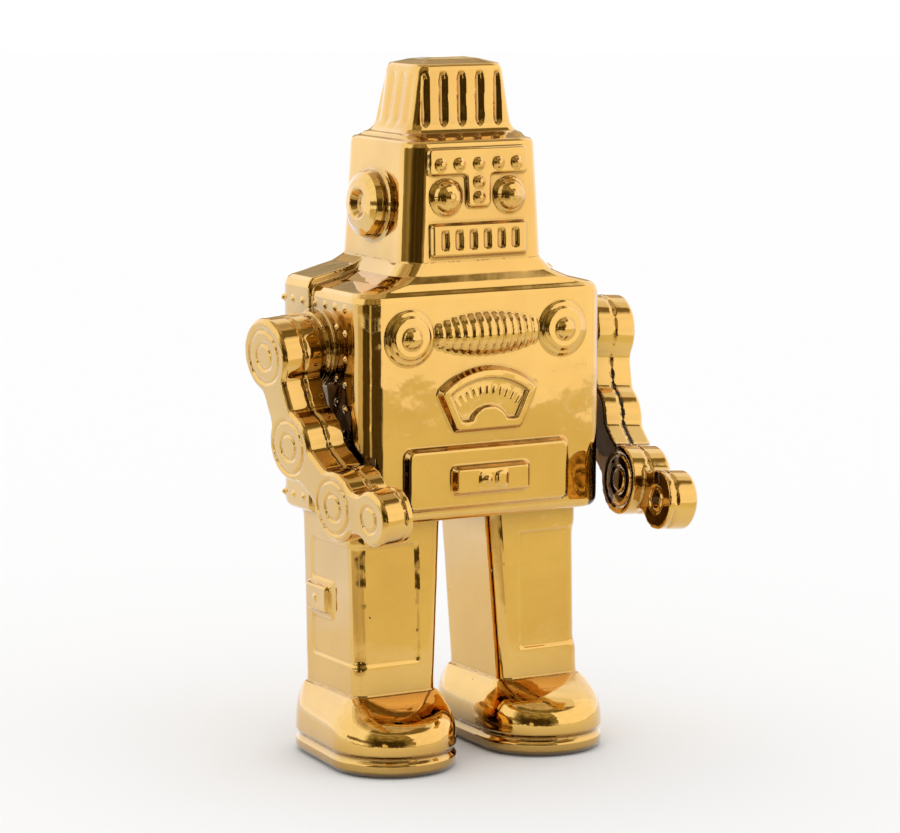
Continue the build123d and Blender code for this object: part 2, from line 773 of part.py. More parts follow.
def rings(centre, *radii):
    """Draws narrow rings of these radii in the open sketch, the largest first."""
    with Locations(centre):
        for radius in radii:
            Circle(radius + ring_width / 2)
            Circle(radius - ring_width / 2, mode=Mode.SUBTRACT)


def arm(side):
    """One arm: two layers with a groove between them, pressed rings, a boss and a spigot."""
    outer_face = arm_plane(side)
    inner_face = outer_face.offset(-arm_thickness)
    hand = lobe_centre(hand_lobe[side], side)
    wrist = lobe_centre(wrist_lobe, side)
    outline = arm_outline(side, 3, 0)
    with BuildPart() as body:
        with BuildSketch(inner_face):
            add(outline)
        extrude(amount=arm_thickness)
        chamfer(body.edges().group_by(Axis(outer_face.origin, outer_face.z_dir))[-1], arm_edge)
        # the hand is thinner than the rest
        with BuildSketch(inner_face):
            with Locations(hand):
                Circle(hand_lobe[side][2] + 2 * waist_fillet)
            with Locations(wrist):
                Circle(wrist_lobe[2], mode=Mode.SUBTRACT)
        extrude(amount=hand_relief, mode=Mode.SUBTRACT)
        # groove between the two layers
        with BuildSketch(outer_face.offset(-outer_plate)):
            add(outline)
            offset(amount=1)
            add(arm_outline(side, 3, groove_depth), mode=Mode.SUBTRACT)
        extrude(amount=-plate_groove, mode=Mode.SUBTRACT)
        # hollow from the shoulder to the wrist
        with BuildSketch(outer_face.offset(-wall)):
            add(arm_outline(side, 2, wall))
        extrude(amount=2 * wall - arm_thickness, mode=Mode.SUBTRACT)
        # pressed rings: on the outer face of every lobe, on the inner face of wrist and hand
        with BuildSketch(outer_face):
            for lobe in lobes:
                rings(lobe_centre(lobe, side), ring_radius, inner_ring_radius)
            rings(hand, hand_ring_radius)
        extrude(amount=-ring_depth, mode=Mode.SUBTRACT)
        with BuildSketch(inner_face):
            rings(wrist, ring_radius, inner_ring_radius)
        extrude(amount=ring_depth, mode=Mode.SUBTRACT)
        with BuildSketch(inner_face.offset(hand_relief)):
            rings(hand, hand_ring_radius)
        extrude(amount=ring_depth, mode=Mode.SUBTRACT)
        # boss against the torso's seat, spigot inside it, and the air passage through both
        with BuildSketch(inner_face):
            Circle(boss_radius)
        extrude(amount=arm_thickness - seat_distance(side))
        with BuildSketch(seat_plane(side)):
            Circle(arm_spigot_radius)
        extrude(amount=-wall - seat_proud)
        with BuildSketch(inner_face.offset(wall)):
            Circle(vent_radius)
        extrude(amount=arm_thickness - seat_distance(side) - 3 * wall - seat_proud,
                mode=Mode.SUBTRACT)
    return body.part


for side in side_names:
    finished(arm(side), f"arm_{side_names[side]}")


# === legs ===================================================================================
def leg_form(side, inset):
    """A leg's four tapered walls, drawn in by inset."""
    foot, top = leg_level(leg_foot, ankle_z, side), leg_level(leg_top, hip_z, side)
    with BuildPart() as form:
        loft([rounded(foot, inset), rounded(top, inset)], ruled=True)
    return form.part


def leg(side):
    """One hollow leg with a shallow panel round its outer front corner."""
    foot, top = leg_level(leg_foot, ankle_z, side), leg_level(leg_top, hip_z, side)
    latch_seat = latch_plane(side)
    with BuildPart() as panel:
        with BuildSketch(Plane.XY.offset(ankle_z + leg_panel_foot)):
            with Locations((side * leg_panel_inner_x, leg_panel_back_y)):
                align = (Align.MIN if side > 0 else Align.MAX, Align.MAX)
                Rectangle(torso_width, torso_depth, align=align)
        extrude(amount=leg_panel_top - leg_panel_foot)
        add(leg_form(side, leg_panel_depth), mode=Mode.SUBTRACT)
        with BuildSketch(latch_seat):
            Rectangle(latch_size[0] + 2 * latch_corner, latch_size[1] + 2 * latch_corner)
        extrude(amount=2 * leg_panel_depth, both=True, mode=Mode.SUBTRACT)
    with BuildPart() as body:
        add(leg_form(side, 0))
        add(panel.part, mode=Mode.SUBTRACT)
        add(cavity([foot, top]), mode=Mode.SUBTRACT)
        add(socket(foot), mode=Mode.SUBTRACT)
        add(spigot(top))
        add(vent(top), mode=Mode.SUBTRACT)
    return body.part


def latch_plane(side):
    """Plane of the latch on a leg's outer side."""
    flank = side_plane(leg_foot[0], ankle_z, leg_top[0], hip_z, side)
    return moved_plane(flank, side * latch_y, ankle_z + latch_rise - flank.origin.Z)


nub_outline = [(0, latch_thickness), (latch_nub_radius, latch_thickness),
               *dome_points(latch_nub_radius, latch_thickness, latch_nub_height, 3)[1:]]
for side in side_names:
    finished(leg(side), f"leg_{side_names[side]}")
    with BuildPart() as leg_latch:
        with BuildSketch(latch_plane(side)):
            RectangleRounded(*latch_size, latch_corner)
        extrude(amount=latch_thickness, taper=box_draft)
        add(turned(latch_plane(side), nub_outline))
    finished(leg_latch.part, f"leg_latch_{side_names[side]}")


# === shoes ==================================================================================
top_half_width = (leg_foot[0] - leg_foot[1]) / 2 + shoe_collar
top_half_length = (leg_foot[3] - leg_foot[2]) / 2 + shoe_collar
top_x = (leg_foot[0] + leg_foot[1]) / 2
top_y = (leg_foot[2] + leg_foot[3]) / 2
welt_z = sole_z + welt_height


def shoe_section(side, z, rise, draw):
    """Outline at height z; rise is 0 at the sole and 1 at the ankle, draw is its inset."""
    swell = 1 - rise ** 2
    half_width = top_half_width + (shoe_half_width - top_half_width) * swell - draw
    half_length = top_half_length + (shoe_half_length - top_half_length) * swell - draw
    corner = leg_corner + shoe_collar + (shoe_corner - leg_corner - shoe_collar) * swell - draw
    centre = (side * (top_x + (shoe_x[side] - top_x) * swell), top_y + (shoe_y[side] - top_y) * swell)
    plane = Plane((*centre, z)).rotated((0, 0, side * shoe_toe_out[side] * swell))
    with BuildSketch(plane) as section:
        RectangleRounded(2 * half_width, 2 * half_length, corner)
    return section.sketch.face()


def shoe_form(side, inset):
    """Welt, groove and upper of a shoe, or the hollow inside it where inset is the wall."""
    sections = [(sole_z, 0, welt_edge), (sole_z + welt_edge, 0, 0),
                (welt_z - welt_edge, 0, 0), (welt_z, 0, welt_edge), (welt_z + welt_edge, 0, 0)]
    if inset:
        sections = [(sole_z + inset, 0, inset), (welt_z, 0, inset + welt_edge)]
    bulge_z = sole_z + upper_bulge_height
    for share in (0, 0.25, 0.5, 0.7, 0.85, 1):
        sections.append((bulge_z + (ankle_z - inset - bulge_z) * share, share, inset))
    with BuildPart() as form:
        loft([shoe_section(side, *section) for section in sections], ruled=True)
    return form.part


def shoe(side):
    """One hollow shoe with a recess for its felt pad."""
    foot = leg_level(leg_foot, ankle_z, side)
    with BuildPart() as body:
        add(shoe_form(side, 0))
        add(shoe_form(side, wall), mode=Mode.SUBTRACT)
        add(spigot(foot))
        add(vent(foot), mode=Mode.SUBTRACT)
        extrude(shoe_section(side, pad_thickness, 0, pad_inset - lute), amount=-pad_thickness,
                mode=Mode.SUBTRACT)
        with Locations((side * shoe_x[side], shoe_y[side], sole_z)):
            Cylinder(vent_radius, 2 * wall + pad_thickness, mode=Mode.SUBTRACT)
    return body.part


for side in side_names:
    finished(shoe(side), f"shoe_{side_names[side]}")
    with BuildPart() as sole_pad:
        extrude(shoe_section(side, 0, 0, pad_inset), amount=pad_thickness)
        with Locations((side * shoe_x[side], shoe_y[side], 0)):
            Cylinder(vent_radius + pad_hole_margin, 2 * wall + pad_thickness, mode=Mode.SUBTRACT)
    finished(sole_pad.part, f"sole_pad_{side_names[side]}")


# === origin: on the floor, under the middle of the whole figure ---------------------------------
figure = Compound(pieces).bounding_box()
to_origin = Location((-figure.center().X, -figure.center().Y, -figure.min.Z))
for piece in pieces:
    export_step(piece.moved(to_origin), f"parts/{piece.label}.step")
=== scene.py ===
"""Studio scene for the gold-glazed ceramic robot figure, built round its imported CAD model.

The castings and their reliefs are luted together and glazed as one, so the scene wraps the whole
figure in one continuous skin, smooths it as the glaze does, and then parts it again into one
closed piece for each casting. Only the felt pads under the soles show as they come from CAD.
Metres; +Z up, the figure faces -Y, and its own left hand is on +X.
"""

import math

import bmesh
import bpy
import numpy as np
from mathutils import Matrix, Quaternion, Vector
from mathutils.bvhtree import BVHTree
from mathutils.kdtree import KDTree


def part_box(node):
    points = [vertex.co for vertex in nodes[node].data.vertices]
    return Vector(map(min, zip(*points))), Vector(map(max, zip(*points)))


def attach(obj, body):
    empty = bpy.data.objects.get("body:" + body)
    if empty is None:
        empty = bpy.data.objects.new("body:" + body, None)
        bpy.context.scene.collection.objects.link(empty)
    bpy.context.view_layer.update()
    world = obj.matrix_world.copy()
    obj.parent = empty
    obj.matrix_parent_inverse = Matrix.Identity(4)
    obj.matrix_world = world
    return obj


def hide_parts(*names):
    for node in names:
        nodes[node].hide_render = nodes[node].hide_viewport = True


MM = 0.001

# --- camera, worked out from the photograph's perspective ----------------------------------------
PHOTO_WIDTH = 900  # pixels
FOCAL_PIXELS = 3630.0
SENSOR_WIDTH = 36.0  # millimetres
CAMERA_AZIMUTH = -30.21  # degrees; negative is towards the figure's right
CAMERA_ELEVATION = 8.52
CAMERA_ROLL = 0.14
CAMERA_DISTANCE = 2035 * MM
AIM_X = 4.8 * MM  # the point that the camera looks at, beside the torso's middle
AIM_Z = 186.3 * MM

# --- glaze ------------------------------------------------------------------------------------------
VOXEL = 0.68 * MM  # grid of the skin
SKIN_SMOOTHING = 7  # passes
SOFT_PASSES = 140  # more, where the glaze lies thick
FLUTE_SOFTNESS = 0.35  # share of each of these passes that the crown's side flutes get
ARM_SOFTNESS = 0.07  # the same for the arms' rims
LEG_SOFTNESS = 0.4  # and for the legs' upright edges
SOFT_REACH = 7  # steps from vertex to vertex over which arms' and legs' edges run out into faces
ARM_CLEARANCE = 3 * MM  # from the torso's side to where the arm's softening starts
UPPER_LEVELS = (14 * MM, 19 * MM)  # the softening of a shoe's upper sets in between these levels
UPPER_GAPS = (2 * MM, 6 * MM)  # and between these distances from the leg
TRUST_ANGLE = 14  # degrees; up to here the skin's shading follows the CAD surface
SKIN_SHARE = 0.36  # of the skin's triangles that are kept, the flat stretches' being the first to go
WAVES = (  # hand-cast walls are never quite flat: height and length
    ("slow_wave", 0.16 * MM, 34 * MM),
    ("quick_wave", 0.075 * MM, 13 * MM),
)
GROOVE_DEPTH = 0.09 * MM  # below its surroundings, where the lustre has pooled most
GAP_SHADE_TOP = 0.214  # below this level the gaps behind the arms get bare glaze and painted shade
GAP_SHADE_FADE = 8 * MM
GAP_SHADE_REACH = 42 * MM
FACING = 0.2  # least share of a normal along X for its face to look into the gap
CREASE_SHADE_REACH = 30 * MM  # reach of the painted shade that darkens the glaze in the creases between castings
SOLE_PLUG = (1.4 * MM, 3.6 * MM)  # levels between which the air holes in the soles are stopped

CASTINGS = {  # skin piece: the CAD nodes that it stands for
    "torso_glaze": (
        "torso_shell", "chest_knob_left", "chest_knob_right", "chest_coil", "gauge_bezel",
        "gauge_dial", "hatch_panel", "hatch_box", "hatch_latch", "side_rivets_left",
        "side_rivets_right",
    ),
    "head_glaze": (
        "head_shell", "brow_plate", "brow_rivets", "eye_left", "eye_right", "mouth_grille",
    ),
    "crown_glaze": ("crown_cap",),
    "ear_left_glaze": ("ear_left",),
    "ear_right_glaze": ("ear_right",),
    "arm_left_glaze": ("arm_left",),
    "arm_right_glaze": ("arm_right",),
    "leg_left_glaze": ("leg_left", "leg_latch_left"),
    "leg_right_glaze": ("leg_right", "leg_latch_right"),
    "shoe_left_glaze": ("shoe_left",),
    "shoe_right_glaze": ("shoe_right",),
}
PADS = ("sole_pad_left", "sole_pad_right")

LUSTRE_THIN = (0.700, 0.395, 0.070)  # colours of the gold, from its plain face to its faults; the crease colour is painted shade
LUSTRE_FULL = (0.755, 0.450, 0.088)
LUSTRE_POOLED = (0.380, 0.190, 0.024)
# painted shade for the creases between castings
CREASE_SHADE_TONE = (0.160, 0.090, 0.015)
# near-black of the gaps behind the arms: bare glaze, and painted shade between the parts
BARE_GLAZE_AND_GAP_SHADE = (0.055, 0.050, 0.045)
PIN_HOLE = (0.10, 0.045, 0.010)
THIN_PATCHES = 24.0  # patches in a metre of each random pattern
GAP_SHADE_PATCHES = 55.0
ROUGH_PATCHES = 60.0
HOLE_CELLS = 62.0
HOLE_CHOICE = (0.80, 0.84)  # cells whose random value is above this have a pin hole
HOLE_RIM = (0.022, 0.050)  # its edge, in cells from the cell's middle
HOLE_DEPTH = 0.25 * MM
RIPPLE = (75.0, 2.0, 0.10 * MM)  # patches in a metre, detail and height
GRAIN = (420.0, 1.0, 0.004 * MM)
FELT_FIBRES = 1400.0
FELT_NAP = 0.3 * MM

# --- stage ----------------------------------------------------------------------------------------
WORLD_LEVEL = 1.04
FLOOR_RADIUS = 8.0
EYE_LEVEL = 0.2  # from where the screens' elevations are measured
SCREENS = (  # upright cards that only reflections show: azimuths, elevations, distance, fade,
    # how soft the rim is, colour and how mottled it is
    ("sky_side", (-189, -71), (-8, 55), 2.6, 6, 0.2, (1.25, 1.30, 1.48), 0.06),
    ("sky_front", (9, 107), (-11, 53), 1.45, 6, 0.12, (1.30, 1.27, 1.33), 0.06),
    ("sky_back", (97, 185), (-8, 55), 2.6, 6, 0.2, (1.18, 1.20, 1.28), 0.06),
    ("room_line", (-114, -54), (-2, 10), 2.5, 4, 0.3, (0.30, 0.25, 0.14), 0.3),
    ("room_dark", (-76, 28), (-9, 56), 2.4, 14, 0.35, (0.34, 0.28, 0.15), 0.6),
    ("room_core", (-76, 14), (-24, 30), 2.3, 22, 0.5, (0.05, 0.035, 0.012), 0.3),
    ("room_slit", (-44, -31), (-16, 4), 2.2, 5, 0.2, (0.95, 0.86, 0.62), 0.4),
    ("room_back", (126, 184), (8, 44), 2.5, 10, 0.4, (0.55, 0.44, 0.26), 0.5),
    ("room_top", (-80, 82), (44, 71), 1.4, 9, 0.4, (0.24, 0.19, 0.09), 0.5),
)
MATS = (  # level cards: azimuths, nearest and farthest, height, colour and mottling
    ("mat_side", (-189, -93), (0.3, 2.6), 0.4 * MM, (0.98, 1.06, 1.36), 0.05),
    ("mat_back", (97, 179), (0.3, 2.6), 0.4 * MM, (0.95, 1.00, 1.40), 0.05),
    ("mat_front", (-9, 107), (0.3, 1.5), 0.4 * MM, (0.92, 0.87, 0.62), 0.05),
    ("mat_camera", (-103, 1), (0.3, 2.4), 0.5 * MM, (0.72, 0.64, 0.48), 0.2),
    ("mat_dark", (-78, 20), (0.72, 2.4), 0.8 * MM, (0.08, 0.055, 0.02), 0.3),
    ("mat_slit", (-44, -31), (0.75, 2.3), 1.1 * MM, (0.95, 0.86, 0.62), 0.4),
    ("ceiling", (-180, 180), (0.0, 2.0), 3.2, (0.64, 0.56, 0.46), 0.3),
)
MAT_SOFTNESS = 0.4
MAT_FADES = (6, 0.25)  # degrees at a mat's sides and metres at its ends
MAT_STEPS = (4, 0.1)  # degrees and metres between a mat's points
SCREEN_STEPS = (2.5, 1)  # degrees across and up between a screen's points
FLOOR_STEP = 10  # degrees
CARD_PATCH = 2.6  # patches of a card's mottling in a metre
RIM_PATCH = 5.2  # the same for its uneven rim
RIM_NOISE = 0.4  # how far the rim strays, as a share of the fade

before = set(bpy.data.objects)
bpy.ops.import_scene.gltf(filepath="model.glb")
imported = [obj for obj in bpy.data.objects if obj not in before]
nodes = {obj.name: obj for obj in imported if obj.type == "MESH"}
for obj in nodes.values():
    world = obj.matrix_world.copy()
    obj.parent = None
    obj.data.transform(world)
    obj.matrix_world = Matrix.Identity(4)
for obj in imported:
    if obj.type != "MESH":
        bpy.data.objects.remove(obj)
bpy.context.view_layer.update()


# --- camera and stage ---------------------------------------------------------------------------
def direction(azimuth, elevation):
    """From the figure towards this azimuth and elevation; azimuth 0 is straight in front."""
    a, e = math.radians(azimuth), math.radians(elevation)
    return Vector((math.sin(a) * math.cos(e), -math.cos(a) * math.cos(e), math.sin(e)))


def add_camera():
    """Camera where the photograph was taken from."""
    low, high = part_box("torso_shell")
    aim = Vector(((low.x + high.x) / 2 + AIM_X, (low.y + high.y) / 2, AIM_Z))
    back = direction(CAMERA_AZIMUTH, CAMERA_ELEVATION)
    data = bpy.data.cameras.new("camera")
    data.sensor_width = SENSOR_WIDTH
    data.lens = FOCAL_PIXELS / PHOTO_WIDTH * SENSOR_WIDTH
    data.clip_start, data.clip_end = 0.05, 60
    camera = bpy.data.objects.new("camera", data)
    bpy.context.collection.objects.link(camera)
    camera.location = aim + back * CAMERA_DISTANCE
    camera.rotation_mode = "QUATERNION"
    look = (-back).to_track_quat("-Z", "Y")
    look.rotate(Quaternion(back, math.radians(CAMERA_ROLL)))
    camera.rotation_quaternion = look
    bpy.context.scene.camera = camera


def principled(name):
    """New material with its node tree and its shader."""
    made = bpy.data.materials.new(name)
    made.use_nodes = True
    return made, made.node_tree, made.node_tree.nodes["Principled BSDF"]


def fill(tree, socket, value):
    """Joins the socket to another one, or sets it to a number or colour."""
    if isinstance(value, bpy.types.NodeSocket):
        tree.links.new(value, socket)
    else:
        socket.default_value = value


def linked(tree, kind, **inputs):
    """A node of this kind with these inputs."""
    made = tree.nodes.new(kind)
    for key, value in inputs.items():
        fill(tree, made.inputs[key.replace("_", " ")], value)
    return made


def calculated(tree, operation, one, other):
    """Sum, product or maximum of two values."""
    made = tree.nodes.new("ShaderNodeMath")
    made.operation = operation
    fill(tree, made.inputs[0], one)
    fill(tree, made.inputs[1], other)
    return made.outputs[0]


def mapped(tree, value, low, high, to_low, to_high):
    """A value stretched from one range to another."""
    made = linked(tree, "ShaderNodeMapRange", Value=value)
    for socket, number in zip(made.inputs[1:5], (low, high, to_low, to_high)):
        socket.default_value = number
    return made.outputs["Result"]


def blended(tree, factor, one, other):
    """A colour between two colours."""
    made = tree.nodes.new("ShaderNodeMix")
    made.data_type = "RGBA"
    for key, value in (("Factor", factor), ("A", one), ("B", other)):
        fill(tree, made.inputs[key], value if isinstance(value, bpy.types.NodeSocket) else (*value, 1))
    return made.outputs["Result"]


def noise(tree, place, scale, detail):
    """Random pattern with this many patches in a metre."""
    made = linked(tree, "ShaderNodeTexNoise", Vector=place, Scale=scale, Detail=detail)
    return made.outputs["Fac"]


def kept(tree, name):
    """What the mesh keeps under this name at each of its points."""
    made = tree.nodes.new("ShaderNodeAttribute")
    made.attribute_name = name
    return made.outputs["Fac"]


def finish_tree(tree, kind, factor, one, other):
    """Mixes two shaders and joins them to a new output node of this kind."""
    mix = linked(tree, "ShaderNodeMixShader", Fac=factor)
    tree.links.new(one.outputs[0], mix.inputs[1])
    tree.links.new(other.outputs[0], mix.inputs[2])
    tree.links.new(mix.outputs[0], tree.nodes.new(kind).inputs["Surface"])


def floor_white():
    """Matt white of the studio floor."""
    made, _, shader = principled("floor_white")
    shader.inputs["Base Color"].default_value = (0.95, 0.95, 0.95, 1)
    shader.inputs["Roughness"].default_value = 1.0
    shader.inputs["Specular IOR Level"].default_value = 0.0
    return made


def card(name, softness, colour, mottling):
    """Glowing, slightly patchy card with an uneven rim."""
    made, tree, _ = principled(name)
    tree.nodes.clear()
    place = tree.nodes.new("ShaderNodeTexCoord").outputs["Object"]
    patches = noise(tree, place, CARD_PATCH, 3.0)
    level = mapped(tree, patches, 0.3, 0.7, 1 - mottling, 1 + mottling)
    glow = linked(tree, "ShaderNodeEmission", Color=(*colour, 1), Strength=level)
    uneven = mapped(tree, noise(tree, place, RIM_PATCH, 2.0), 0.0, 1.0, -RIM_NOISE, RIM_NOISE)
    rim = calculated(tree, "ADD", kept(tree, "fade"), uneven)
    edge = mapped(tree, rim, 0.5 - softness, 0.5 + softness, 0.0, 1.0)
    clear = tree.nodes.new("ShaderNodeBsdfTransparent")
    finish_tree(tree, "ShaderNodeOutputMaterial", edge, clear, glow)
    return made


def spread(low, high, step):
    """Even levels from low to high, about a step apart."""
    return np.linspace(low, high, max(3, round((high - low) / step) + 1))


def eased(values, low, high, fade):
    """1 inside the limits, falling smoothly to 0 at them."""
    inside = np.clip(np.minimum(values - low, high - values) / fade, 0, 1)
    return inside * inside * (3 - 2 * inside)


def woven(name, across, along, place, fades):
    """Grid mesh of place(a, b), with its fade kept at each point."""
    mesh = bpy.data.meshes.new(name)
    wide = len(across)
    faces = [
        (j * wide + i, j * wide + i + 1, (j + 1) * wide + i + 1, (j + 1) * wide + i)
        for j in range(len(along) - 1) for i in range(wide - 1)
    ]
    mesh.from_pydata([place(a, b) for b in along for a in across], [], faces)
    fade = mesh.attributes.new("fade", "FLOAT", "POINT")
    fade.data.foreach_set("value", np.outer(fades[1], fades[0]).ravel().astype(np.float32))
    return mesh


def add_floor():
    """Round floor that takes the figure's shadow."""
    turns, reach = spread(-180, 180, FLOOR_STEP), (0.0, FLOOR_RADIUS / 2, FLOOR_RADIUS)
    whole = np.ones(len(turns)), np.ones(len(reach))
    mesh = woven("floor", turns, reach, lambda a, r: direction(a, 0) * r, whole)
    floor = bpy.data.objects.new("floor", mesh)
    bpy.context.collection.objects.link(floor)
    mesh.materials.append(floor_white())


def reflected_only(name, mesh, *look):
    """Stage piece that only the glaze's reflections show."""
    piece = bpy.data.objects.new(name, mesh)
    bpy.context.collection.objects.link(piece)
    mesh.materials.append(card(name, *look))
    piece.visible_camera = piece.visible_diffuse = piece.visible_shadow = False


def add_screen(name, azimuths, elevations, distance, fade, *look):
    """Upright curved card round the figure."""
    def place(a, e):
        level = EYE_LEVEL + distance * math.tan(math.radians(e))
        return direction(a, 0) * distance + Vector((0, 0, max(level, 0)))
    across, along = spread(*azimuths, SCREEN_STEPS[0]), spread(*elevations, SCREEN_STEPS[1])
    fades = eased(across, *azimuths, fade), eased(along, *elevations, fade)
    reflected_only(name, woven(name, across, along, place, fades), *look)


def add_mat(name, azimuths, reach, height, colour, mottling):
    """Level card on the floor or overhead."""
    def place(a, r):
        return direction(a, 0) * r + Vector((0, 0, height))
    across, along = spread(*azimuths, MAT_STEPS[0]), spread(*reach, MAT_STEPS[1])
    side_fade, end_fade = MAT_FADES
    if azimuths[1] - azimuths[0] == 360:
        fades = np.ones(len(across)), eased(along, reach[0] - end_fade, reach[1], end_fade)
    else:
        fades = eased(across, *azimuths, side_fade), eased(along, *reach, end_fade)
    mesh = woven(name, across, along, place, fades)
    reflected_only(name, mesh, MAT_SOFTNESS, colour, mottling)


def add_world():
    """Even light from all round; plain white where the camera or a reflection sees it."""
    world = bpy.data.worlds.new("studio")
    bpy.context.scene.world = world
    world.use_nodes = True
    tree = world.node_tree
    tree.nodes.clear()
    soft = linked(tree, "ShaderNodeBackground", Color=(1, 1, 1, 1), Strength=WORLD_LEVEL)
    white = linked(tree, "ShaderNodeBackground", Color=(1, 1, 1, 1), Strength=1.0)
    path = tree.nodes.new("ShaderNodeLightPath").outputs
    seen = calculated(tree, "MAXIMUM", path["Is Camera Ray"], path["Is Glossy Ray"])
    seen = calculated(tree, "MAXIMUM", seen, path["Is Transmission Ray"])
    finish_tree(tree, "ShaderNodeOutputWorld", seen, soft, white)


# --- materials ------------------------------------------------------------------------------------
def gold_glaze():
    """Gold lustre under a clear glaze: deeper where it is thin, rippled, with pin holes."""
    made, tree, shader = principled("gold_glaze")
    shader.inputs["Metallic"].default_value = 1.0
    shader.inputs["Coat Roughness"].default_value = 0.02
    place = tree.nodes.new("ShaderNodeTexCoord").outputs["Object"]

    # pin holes: the middles of a few cells of a random pattern
    cells = linked(tree, "ShaderNodeTexVoronoi", Vector=place, Scale=HOLE_CELLS)
    chosen = linked(tree, "ShaderNodeSeparateColor", Color=cells.outputs["Color"])
    rare = mapped(tree, chosen.outputs["Red"], *HOLE_CHOICE, 0.0, 1.0)
    near = mapped(tree, cells.outputs["Distance"], *HOLE_RIM, 1.0, 0.0)
    hole = calculated(tree, "MULTIPLY", rare, near)

    # the lustre is thinner here and there and browner where it pooled in a groove; painted shade
    # darkens it in the creases, and in the gaps behind the arms it is bare glaze made near-black as
    # painted shade
    thin = mapped(tree, noise(tree, place, THIN_PATCHES, 5.0), 0.30, 0.62, 0.0, 1.0)
    tone = blended(tree, thin, LUSTRE_THIN, LUSTRE_FULL)
    pooled = mapped(tree, kept(tree, "groove"), 0.2, 1.0, 0.0, 0.5)
    tone = blended(tree, pooled, tone, LUSTRE_POOLED)
    # bare glaze and painted shade in the gaps behind the arms, with a ragged edge
    uneven = mapped(tree, noise(tree, place, GAP_SHADE_PATCHES, 3.0), 0.0, 1.0, -0.4, 0.4)
    gap_shade_mix = calculated(tree, "ADD", kept(tree, "gap_shade"), uneven)
    gap_shade_mix = mapped(tree, gap_shade_mix, 0.42, 0.58, 0.0, 1.0)
    tone = blended(tree, gap_shade_mix, tone, BARE_GLAZE_AND_GAP_SHADE)
    tone = blended(tree, hole, tone, PIN_HOLE)
    # painted shade: the gold darkens towards a deep brown where ambient occlusion finds it hemmed in
    # by other castings
    open_sky = linked(tree, "ShaderNodeAmbientOcclusion", Color=tone, Distance=CREASE_SHADE_REACH)
    open_sky.samples = 6
    crease_shade = mapped(tree, open_sky.outputs["AO"], 0.35, 0.82, 0.9, 0.0)
    tone = blended(tree, crease_shade, tone, CREASE_SHADE_TONE)
    tree.links.new(tone, shader.inputs["Base Color"])
    tree.links.new(mapped(tree, gap_shade_mix, 0.0, 1.0, 1.0, 0.35), shader.inputs["Coat Weight"])
    rough = mapped(tree, noise(tree, place, ROUGH_PATCHES, 4.0), 0.35, 0.75, 0.035, 0.085)
    tree.links.new(rough, shader.inputs["Roughness"])

    scale, detail, height = RIPPLE
    skin = linked(tree, "ShaderNodeBump", Height=noise(tree, place, scale, detail), Distance=height)
    scale, detail, height = GRAIN
    skin = linked(tree, "ShaderNodeBump", Height=noise(tree, place, scale, detail), Distance=height,
                  Normal=skin.outputs["Normal"])
    depth = mapped(tree, hole, 0.0, 1.0, 1.0, 0.0)
    skin = linked(tree, "ShaderNodeBump", Height=depth, Distance=HOLE_DEPTH,
                  Normal=skin.outputs["Normal"])
    tree.links.new(skin.outputs["Normal"], shader.inputs["Normal"])
    tree.links.new(skin.outputs["Normal"], shader.inputs["Coat Normal"])
    return made


def felt():
    """Dark felt with a short nap."""
    made, tree, shader = principled("sole_felt")
    shader.inputs["Roughness"].default_value = 0.95
    shader.inputs["Sheen Weight"].default_value = 0.4
    place = tree.nodes.new("ShaderNodeTexCoord").outputs["Object"]
    fibre = noise(tree, place, FELT_FIBRES, 6.0)
    shade = linked(tree, "ShaderNodeValToRGB", Fac=fibre)
    shade.color_ramp.elements[0].color = (0.012, 0.011, 0.010, 1)
    shade.color_ramp.elements[1].color = (0.060, 0.055, 0.050, 1)
    bump = linked(tree, "ShaderNodeBump", Height=fibre, Strength=0.6, Distance=FELT_NAP)
    tree.links.new(shade.outputs["Color"], shader.inputs["Base Color"])
    tree.links.new(bump.outputs["Normal"], shader.inputs["Normal"])
    return made


# --- the skin ---------------------------------------------------------------------------------------
def evaluated(mesh, *modifiers):
    """The mesh after these modifiers, each a type with its settings."""
    holder = bpy.data.objects.new("skin_in_making", mesh)
    bpy.context.collection.objects.link(holder)
    for kind, settings in modifiers:
        modifier = holder.modifiers.new(kind.lower(), kind)
        for key, value in settings.items():
            setattr(modifier, key, value)
    graph = bpy.context.evaluated_depsgraph_get()
    made = bpy.data.meshes.new_from_object(holder.evaluated_get(graph))
    bpy.data.objects.remove(holder)
    bpy.data.meshes.remove(mesh)
    return made


def all_castings():
    """Every casting and relief in one mesh, with the air holes in the soles stopped."""
    form = bmesh.new()
    for names in CASTINGS.values():
        for name in names:
            form.from_mesh(nodes[name].data)
    for pad in PADS:
        low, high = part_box(pad)
        plug = bmesh.ops.create_cube(form, size=1)["verts"]
        centre = (low + high) / 2
        for vertex in plug:
            vertex.co.x = centre.x + vertex.co.x * (high.x - low.x) / 2
            vertex.co.y = centre.y + vertex.co.y * (high.y - low.y) / 2
            vertex.co.z = SOLE_PLUG[0] if vertex.co.z < 0 else SOLE_PLUG[1]
    mesh = bpy.data.meshes.new("castings")
    form.to_mesh(mesh)
    form.free()
    return mesh


def vectors(items, key):
    """One vector of each item of a mesh as an array."""
    flat = np.empty(3 * len(items), np.float32)
    items.foreach_get(key, flat)
    return flat.reshape(-1, 3).astype(float)


def unit(rows):
    """Vectors of length 1."""
    return rows / np.linalg.norm(rows, axis=1)[:, None]


def corners_of(mesh):
    """The vertex numbers of a mesh that has only triangles."""
    flat = np.empty(len(mesh.loops), np.int32)
    mesh.loops.foreach_get("vertex_index", flat)
    return flat.reshape(-1, 3)


def edge_ends(mesh):
    """The two vertex numbers of each edge."""
    flat = np.empty(2 * len(mesh.edges), np.int64)
    mesh.edges.foreach_get("vertices", flat)
    return flat.reshape(-1, 2)


